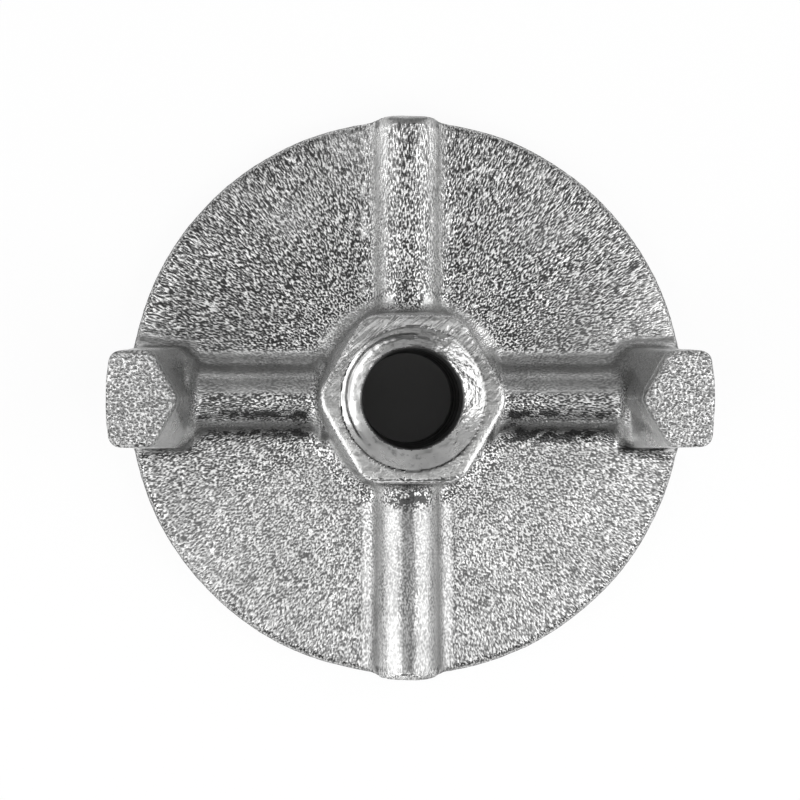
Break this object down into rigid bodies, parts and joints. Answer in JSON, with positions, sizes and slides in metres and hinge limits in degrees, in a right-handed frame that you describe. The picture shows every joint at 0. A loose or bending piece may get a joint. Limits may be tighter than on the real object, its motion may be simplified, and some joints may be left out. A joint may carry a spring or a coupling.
{
  "type": "formwork wing nut",
  "caption": "Cast wing nut with a bearing flange, a hexagonal threaded hub, radial ribs and upright lugs, for clamping formwork on a coarse-thread tie rod.",
  "frame": {"origin": "centre of the bore in the plane of the bearing face, which lies on z = 0", "axes": "+Z along the bore towards the hub's mouth; +X through the two lugs; +Y along the ribs that run to the rim"},
  "size_m": [0.1006, 0.1, 0.045],
  "materials": {
    "zinc_casting": "bright zinc plating over a sand-cast skin"
  },
  "bodies": {
    "root": {"wing_nut": "zinc_casting"}
  },
  "joints": []
}
